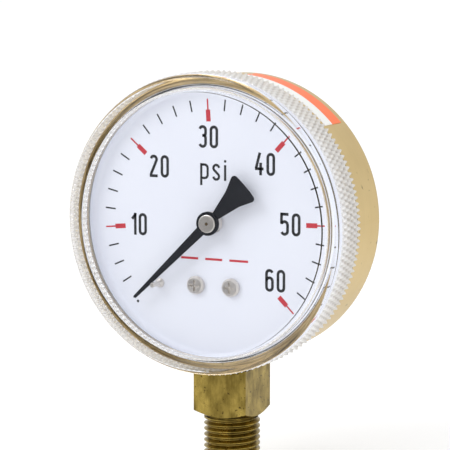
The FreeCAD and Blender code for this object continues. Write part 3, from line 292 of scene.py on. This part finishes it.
def clear_plastic(name):
    """Clear, polished moulded plastic."""
    finish = Finish(name, (0.985, 0.992, 1.0), roughness=0.02, IOR=1.52, Transmission_Weight=1.0)
    finish.relief(finish.noise(finish.place, 90.0, 2.0), 0.002)
    haze = finish.noise(finish.place, 700.0, 3.0)
    finish.rough(finish.span(haze, 0.45, 0.75, 0.0, 0.04))
    return let_lamps_through(finish, finish.shader)


KNURL_GLOW = 0.33        # share of the knurls' light that is scattered through them


def knurled_plastic(name):
    """The frosted knurls of the lens, white on the bumps, with a beige painted shade between them where the
    knurl is low.
    """
    finish = Finish(name, (1.0, 1.0, 1.0), roughness=0.15, IOR=1.52, Transmission_Weight=0.35)
    x, y, z = finish.axes(DIAL_CENTRE)
    turn = finish.calc("ARCTAN2", x, z)
    across = finish.calc("COSINE", finish.calc("MULTIPLY", turn, KNURLS))
    ahead = finish.calc("SUBTRACT", finish.calc("MULTIPLY", y, -1 / MM), KNURL_FRONT)
    along = finish.calc("COSINE", finish.calc("MULTIPLY", ahead, 2 * math.pi / KNURL_PITCH))
    height = finish.calc("MULTIPLY", across, along)
    wear_and_shade_mottle = finish.noise(finish.place, 900.0, 3.0)
    height = finish.calc("ADD", height, finish.calc("MULTIPLY", wear_and_shade_mottle, 1.1))
    # Painted shade: the colour turns beige where the knurl is low, between the bumps, mottled by fine
    # noise.
    painted_gap_shade_mask = finish.span(height, -0.3, 0.75)
    finish.color(finish.blend(painted_gap_shade_mask, (0.50, 0.46, 0.43), (1.0, 0.998, 0.995)))
    finish.rough(finish.span(wear_and_shade_mottle, 0.35, 0.65, 0.08, 0.24))
    finish.relief(wear_and_shade_mottle, 0.01)
    glow = finish.add("ShaderNodeBsdfTranslucent")
    glow.inputs["Color"].default_value = (1.0, 0.99, 0.98, 1.0)
    mix = finish.add("ShaderNodeMixShader")
    mix.inputs[0].default_value = KNURL_GLOW
    finish.feed(mix.inputs[1], finish.shader.outputs[0])
    finish.feed(mix.inputs[2], glow.outputs[0])
    return let_lamps_through(finish, mix)


LABEL_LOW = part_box("case_label")[0]
WHITE_BAND = 4.2         # width of the label's white band
BAND_BLUR = 0.03
LABEL_SPLIT = LABEL_LOW[1] + WHITE_BAND * MM


def label_film(name):
    """The wrap label: a plain white band to the front and a plain orange band to the rear."""
    finish = Finish(name, (1.0, 0.3, 0.12), roughness=0.4, Specular_IOR_Level=0.2)
    depth = finish.axes()[1]
    band = finish.span(depth, LABEL_SPLIT - BAND_BLUR * MM, LABEL_SPLIT + BAND_BLUR * MM)
    mottle = finish.noise(finish.place, 500.0, 3.0)
    orange = finish.blend(mottle, (0.98, 0.17, 0.05), (1.0, 0.23, 0.08))
    white = finish.blend(mottle, (0.86, 0.86, 0.85), (0.93, 0.93, 0.92))
    finish.color(finish.blend(band, white, orange))
    return finish.relief(mottle, 0.004).material


FINISHES = {
    "case_brass": case_brass("case_brass_spun"),
    "stem_brass": stem_brass("stem_brass_forged"),
    "movement_brass": brass("movement_brass_stamped", (0.72, 0.56, 0.28), (0.62, 0.46, 0.2), 0.3),
    "tube_bronze": brass("tube_bronze_drawn", (0.66, 0.42, 0.24), (0.5, 0.3, 0.15), 0.32),
    "screw_steel": metal("screw_steel_zinc", (0.62, 0.63, 0.65), (0.48, 0.48, 0.49), 0.33),
    "arbor_steel": metal("arbor_steel_ground", (0.30, 0.22, 0.14), (0.2, 0.14, 0.09), 0.35),
    "bright_nickel": metal("bright_nickel_plate", (0.86, 0.81, 0.76), (0.76, 0.71, 0.66), 0.36,
                           1500.0, 0.001),
    "dial_white": enamel("dial_white_enamel", (0.77, 0.79, 0.87), (0.75, 0.77, 0.855), 0.5, 0.3),
    "pointer_black": enamel("pointer_black_satin", (0.019, 0.02, 0.025),
                            (0.014, 0.015, 0.019), 0.5, 0.15),
    "clear_polycarbonate": clear_plastic("clear_lens_plastic"),
    "black_rubber": rubber("black_rubber_moulded", (0.02, 0.02, 0.021)),
    "label_film": label_film("label_film_bands"),
}
SCREW_NICKEL = metal("screw_nickel_plate", (0.85, 0.81, 0.77), (0.7, 0.66, 0.62), 0.38)
KNURL_PLASTIC = knurled_plastic("knurled_lens_plastic")
BLACK_INK = ink("dial_ink_black", (0.012, 0.013, 0.016), (0.02, 0.021, 0.024))
RED_INK = ink("dial_ink_red", (0.58, 0.035, 0.055), (0.50, 0.03, 0.045))


def paint_cad_nodes():
    """Each CAD node's finish follows its slot, but the dial's screws and stop pin have their own."""
    slots = {row["node"]: row["material_slot"] for row in frame["record"]["subparts"]}
    for name, thing in nodes.items():
        finish = SCREW_NICKEL if name in ("dial_screws", "stop_pin") else FINISHES[slots[name]]
        for place in thing.material_slots:
            place.material = finish


# ---- meshes ----------------------------------------------------------------------------------

def new_piece(name, points, faces, body, material, smooth_under=None):
    """A mesh piece in row-frame metres. Edges under the given angle in degrees are shaded smooth."""
    mesh = bpy.data.meshes.new(name)
    mesh.from_pydata(points, [], faces)
    mesh.materials.append(material)
    mesh.update()
    if smooth_under:
        mesh.shade_smooth()
        mesh.set_sharp_from_angle(angle=math.radians(smooth_under))
    piece = bpy.data.objects.new(name, mesh)
    bpy.context.scene.collection.objects.link(piece)
    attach(piece, body)
    return piece


def arc(x, y, radius, start, end, steps=8):
    """Points round an arc, from one angle to another in degrees, anticlockwise from +x."""
    turns = [math.radians(start + (end - start) * step / steps) for step in range(steps + 1)]
    return [(x + radius * math.cos(turn), y + radius * math.sin(turn)) for turn in turns]


# ---- lens ------------------------------------------------------------------------------------

def lens_profile():
    """Radius and z of the lens from the window's edge to the knurls, and from them to its underside."""
    outer = [(radius, LENS_FRONT) for radius in (*WINDOW_RINGS, WINDOW_EDGE)]
    outer += [(radius, LENS_FLANGE) for radius in (WINDOW_FOOT, *FLANGE_RINGS)]
    outer += arc(CORNER_CENTRE, LENS_FLANGE - CORNER_RADIUS, CORNER_RADIUS, 80, 0, 8)
    inner = [(SKIRT_FOOT, KNURL_REAR), (SKIRT_BORE, KNURL_REAR), (SKIRT_BORE, SKIRT_SHOULDER)]
    inner += [(LIP_OUTER, SKIRT_SHOULDER), (LIP_OUTER, LIP_END + LIP_BEVEL)]
    inner += [(LIP_OUTER - LIP_BEVEL, LIP_END)]
    inner += [(LIP_INNER + LIP_BEVEL, LIP_END), (LIP_INNER, LIP_END + LIP_BEVEL), (LIP_INNER, LIP_TOP)]
    inner += arc(LIP_INNER - UNDER_CORNER, LENS_UNDER - UNDER_CORNER, UNDER_CORNER, 0, 90, 5)
    inner += [(radius, LENS_UNDER) for radius in reversed(WINDOW_RINGS)]
    return outer, inner


def knurl_radius(column, z):
    """Round bumps in a diamond pattern, drawn out along the skirt."""
    across = math.cos(2 * math.pi * column / KNURL_COLUMNS)
    along = math.cos(2 * math.pi * (z - KNURL_FRONT) / KNURL_PITCH)
    return KNURL_MID + KNURL_HEIGHT * across * along


def make_lens():
    """The lens as one closed turned mesh, with its knurls in the outline of the skirt."""
    columns = KNURLS * KNURL_COLUMNS
    outer, inner = lens_profile()
    step = (KNURL_REAR - KNURL_FRONT) / KNURL_ROWS
    knurls = [(None, KNURL_FRONT + step * row) for row in range(KNURL_ROWS + 1)]
    rings = outer + knurls + inner
    points = [on_dial(0, 0, LENS_FRONT)]
    for radius, z in rings:
        for column in range(columns):
            reach = radius or knurl_radius(column, z)
            turn = 2 * math.pi * column / columns
            points.append(on_dial(reach * math.sin(turn), reach * math.cos(turn), z))
    points.append(on_dial(0, 0, LENS_UNDER))
    last = len(points) - 1
    start = last - columns
    faces = []
    for column in range(columns):
        following = (column + 1) % columns
        faces.append((0, 1 + following, 1 + column))
        faces.append((last, start + column, start + following))
    for number in range(len(rings) - 1):
        near = 1 + number * columns
        for column in range(columns):
            following = (column + 1) % columns
            far, far_following = near + columns + column, near + columns + following
            faces.append((near + column, near + following, far_following, far))
    lens = new_piece("lens_moulding", points, faces, "lens", FINISHES["clear_polycarbonate"],
                     60)
    lens.data.materials.append(KNURL_PLASTIC)
    front = (len(outer) + 1) * columns
    for number in range(front, front + (KNURL_ROWS + 1) * columns):
        lens.data.polygons[number].material_index = 1
    lens.visible_diffuse = False
    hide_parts("lens")


# ---- dial print ------------------------------------------------------------------------------

INK_TOP, INK_FOOT = 0.03, -0.01


class Print:
    """Printed marks gathered in one thin mesh on the dial."""

    def __init__(self):
        self.points = []
        self.faces = []

    def patch(self, outline):
        """A convex patch, given anticlockwise in dial millimetres, with its thin edge."""
        first = len(self.points)
        count = len(outline)
        self.points += [on_dial(x, y, INK_TOP) for x, y in outline]
        self.points += [on_dial(x, y, INK_FOOT) for x, y in outline]
        self.faces.append(tuple(range(first, first + count)))
        for index in range(count):
            following = (index + 1) % count
            self.faces.append((first + index, first + count + index,
                               first + count + following, first + following))

    def stroke(self, line, width):
        """A pen stroke of even width along a line of points."""
        line = [Vector((x, y)) for x, y in line]
        closed = (line[0] - line[-1]).length < 1e-6
        if closed:
            line = line[:-1]
        count = len(line)
        sides = []
        for index, spot in enumerate(line):
            before = line[index - 1] if closed or index else spot
            after = line[(index + 1) % count] if closed or index < count - 1 else spot
            into, out = spot - before, after - spot
            into = (into if into.length else out).normalized()
            out = (out if out.length else into).normalized()
            along = (into + out).normalized()
            side = Vector((-along.y, along.x)) * width / 2 / max(0.3, along.dot(into))
            sides.append((spot + side, spot - side))
        for index in range(count if closed else count - 1):
            (left, right), (left_next, right_next) = sides[index], sides[(index + 1) % count]
            self.patch([tuple(right), tuple(right_next), tuple(left_next), tuple(left)])

    def finish(self, name, material, slot):
        return new_piece(name, self.points, self.faces, "gauge_body", material)


def clock(radius, angle):
    """Dial x and y at a clock angle in degrees."""
    turn = math.radians(angle)
    return radius * math.sin(turn), radius * math.cos(turn)


SCALE_MIDDLE, DEGREES_PER_UNIT = 30, 4.6
SCALE_LEAN = -3.33       # clock angle of the scale's middle
TICK_END = 29.42
TICK_START, TICK_PEN = 26.68, 0.35
BLOCK_START, BLOCK_END, BLOCK_PEN = 24.0, 26.81, 1.15       # thick inner part of a red mark
RED_TICK_START, RED_TICK_PEN = 26.8, 0.37
ZERO_RADIUS, ZERO_ANGLE, ZERO_DOT = 29.06, -134.9, 0.33


def scale_angle(pressure):
    """Clock angle of a pressure on the scale."""
    return (pressure - SCALE_MIDDLE) * DEGREES_PER_UNIT + SCALE_LEAN


A, B = 0.775, 2.375      # half width and half height of a numeral, to its pen line
WAIST = 0.27
BOWL = -0.155            # centre of the bowl of a 5 or 6

GLYPHS = {
    "0": [arc(0, B - A, A, 0, 180) + arc(0, A - B, A, 180, 360) + [(A, B - A)]],
    "1": [[(0, -B - 0.3), (0, B + 0.3)], [(0.12, B + 0.05), (-0.85, B - 1.2)]],
    "2": [arc(0, B - A, A, 165, -30) + [(-0.8, 0.3 - B)], [(-1.1, -B), (1.05, -B)]],
    "3": [arc(0, B - A, A, 165, 0) + arc(A - 0.5, WAIST + 0.5, 0.5, 0, -90, 5) + [(-0.1, WAIST)],
          [(-0.1, WAIST)] + arc(A - 0.6, WAIST - 0.6, 0.6, 90, 0, 5) + arc(0, A - B, A, 0, -165)],
    "4": [[(0.15, B + 0.3), (-0.85, -1.1)], [(-1.1, -1.15), (1.1, -1.15)], [(0.35, 0.3), (0.35, -B - 0.3)]],
    "5": [[(1.0, B), (-1.05, B)], [(-0.78, B + 0.25), (-0.8, 0.2)], [(-1.08, 0.33), (-0.4, 0.35)],
          [(-0.6, 0.3)] + arc(0, BOWL, A, 125, 0) + arc(0, A - B, A, 0, -160)],
    "6": [arc(0, B - A, A, 20, 180) + arc(0, A - B, A, 180, 360) + arc(0, BOWL, A, 0, 180)],
}
PEN = 0.68
DIGIT_STEP = 2.97
NARROW_STEP = 2.05       # after a 1
NUMERALS = {"10": (-20.2, -1.6), "20": (-14.62, 12.72), "30": (-1.48, 20.33),
            "40": (13.37, 14.45), "50": (19.94, 0.53), "60": (16.09, -13.05)}

UNIT_PEN = 0.58
UNIT = [
    [(-3.35, 13.95), (-3.35, 8.7)],
    [(-3.4, 13.65)] + arc(-2.45, 12.85, 0.8, 90, 0) + arc(-2.45, 11.25, 0.8, 0, -90) + [(-3.4, 10.45)],
    arc(0.62, 12.95, 0.75, 5, 215) + arc(0.62, 10.95, 0.75, 35, -175),
    [(2.97, 13.75), (2.97, 10.0)],
    [(2.97, 14.93), (2.97, 14.37)],
]
LEGEND_DASHES = [(-8.8, -4.2), (-2.3, 2.2), (4.1, 9.0)]
LEGEND_UP, LEGEND_PEN = -9.0, 0.55


def make_dial_print():
    """The scale, its numerals, the unit and the plain dashes, in a black and a red mesh."""
    black = Print()
    red = Print()
    for pressure in range(2, 60, 2):
        angle = scale_angle(pressure)
        if pressure % 10:
            black.stroke([clock(TICK_START, angle), clock(TICK_END, angle)], TICK_PEN)
    for pressure in range(10, 61, 10):
        angle = scale_angle(pressure)
        red.stroke([clock(BLOCK_START, angle), clock(BLOCK_END, angle)], BLOCK_PEN)
        red.stroke([clock(RED_TICK_START, angle), clock(TICK_END, angle)], RED_TICK_PEN)
    black.patch(arc(*clock(ZERO_RADIUS, ZERO_ANGLE), ZERO_DOT, 0, 337.5, 15))
    for text, (across, up) in NUMERALS.items():
        step = NARROW_STEP if text[0] == "1" else DIGIT_STEP
        for side, digit in zip((-0.5, 0.5), text):
            for line in GLYPHS[digit]:
                black.stroke([(across + side * step + x, up + y) for x, y in line], PEN)
    for line in UNIT:
        black.stroke(line, UNIT_PEN)
    for start, end in LEGEND_DASHES:
        red.stroke([(start, LEGEND_UP), (end, LEGEND_UP)], LEGEND_PEN)
    black.finish("dial_print_black", BLACK_INK, "pointer_black")
    red.finish("dial_print_red", RED_INK, "label_film")


# ---- stage -----------------------------------------------------------------------------------

FLOOR_REACH = 12.0


def make_floor():
    """A plain pale floor of paper, which glows faintly."""
    mesh = bpy.data.meshes.new("floor")
    corners = [(x * FLOOR_REACH, y * FLOOR_REACH, 0) for x, y in ((-1, -1), (1, -1), (1, 1), (-1, 1))]
    mesh.from_pydata(corners, [], [(0, 1, 2, 3)])
    floor = bpy.data.objects.new("floor", mesh)
    bpy.context.scene.collection.objects.link(floor)
    finish = Finish("floor_paper", (0.92, 0.92, 0.92), roughness=0.9, Emission_Color=(1, 1, 1, 1),
                    Emission_Strength=0.15)
    finish.relief(finish.noise(finish.place, 300.0), 0.02)
    mesh.materials.append(finish.material)


CARD_RADIUS = 39
CARD_PLACE = (-0.052, -0.1164, 0.0464)
CARD_FACING = (0.434, 0.892, 0.13)


def make_dark_card():
    """A card that only reflections and refractions show. It keeps glare off the window."""
    mesh = bpy.data.meshes.new("dark_card")
    edge = [(x * MM, y * MM, 0) for x, y in arc(0, 0, CARD_RADIUS, 0, 352.5, 47)]
    mesh.from_pydata(edge, [], [tuple(range(len(edge)))])
    card = bpy.data.objects.new("dark_card", mesh)
    bpy.context.scene.collection.objects.link(card)
    card.location = CARD_PLACE
    card.rotation_euler = Vector(CARD_FACING).to_track_quat("Z", "Y").to_euler()
    finish = Finish("dark_card_felt", (0.02, 0.02, 0.025), roughness=0.95)
    finish.relief(finish.noise(finish.place, 400.0), 0.05)
    mesh.materials.append(finish.material)
    card.visible_camera = False
    card.visible_diffuse = False
    card.visible_shadow = False


def add_softbox(name, place, target, side, watts):
    """A square lamp of a given side, turned to a target."""
    lamp = bpy.data.lights.new(name, "AREA")
    lamp.shape = "SQUARE"
    lamp.size = side
    lamp.energy = watts
    thing = bpy.data.objects.new(name, lamp)
    bpy.context.scene.collection.objects.link(thing)
    thing.location = place
    thing.rotation_euler = (Vector(target) - Vector(place)).to_track_quat("-Z", "Y").to_euler()


SKY_STRENGTH = 0.96
KEY_PLACE, KEY_SIDE, KEY_WATTS = (-0.42, -0.62, 0.62), 0.45, 2.6


def make_studio():
    """An even white surround with one soft key lamp at the upper left."""
    world = bpy.data.worlds.new("studio")
    bpy.context.scene.world = world
    world.use_nodes = True
    sky = world.node_tree.nodes["Background"]
    sky.inputs["Color"].default_value = (1.0, 1.0, 1.0, 1.0)
    sky.inputs["Strength"].default_value = SKY_STRENGTH
    add_softbox("key_softbox", KEY_PLACE, DIAL_CENTRE, KEY_SIDE, KEY_WATTS)
    bpy.context.scene.view_settings.view_transform = "Standard"


CAMERA_PLACE = (0.22848, -0.47388, 0.12901)
CAMERA_AIM = (-0.43357, 0.89173, -0.12984)
CAMERA_LENS = 175.21


def make_camera():
    """A long lens from the right and a little above the dial."""
    camera = bpy.data.cameras.new("camera")
    camera.lens = CAMERA_LENS
    camera.sensor_width = 36.0
    camera.clip_start = 0.01
    thing = bpy.data.objects.new("camera", camera)
    bpy.context.scene.collection.objects.link(thing)
    thing.location = CAMERA_PLACE
    thing.rotation_euler = Vector(CAMERA_AIM).to_track_quat("-Z", "Y").to_euler()
    bpy.context.scene.camera = thing


paint_cad_nodes()
make_lens()
make_dial_print()
make_floor()
make_dark_card()
make_studio()
make_camera()
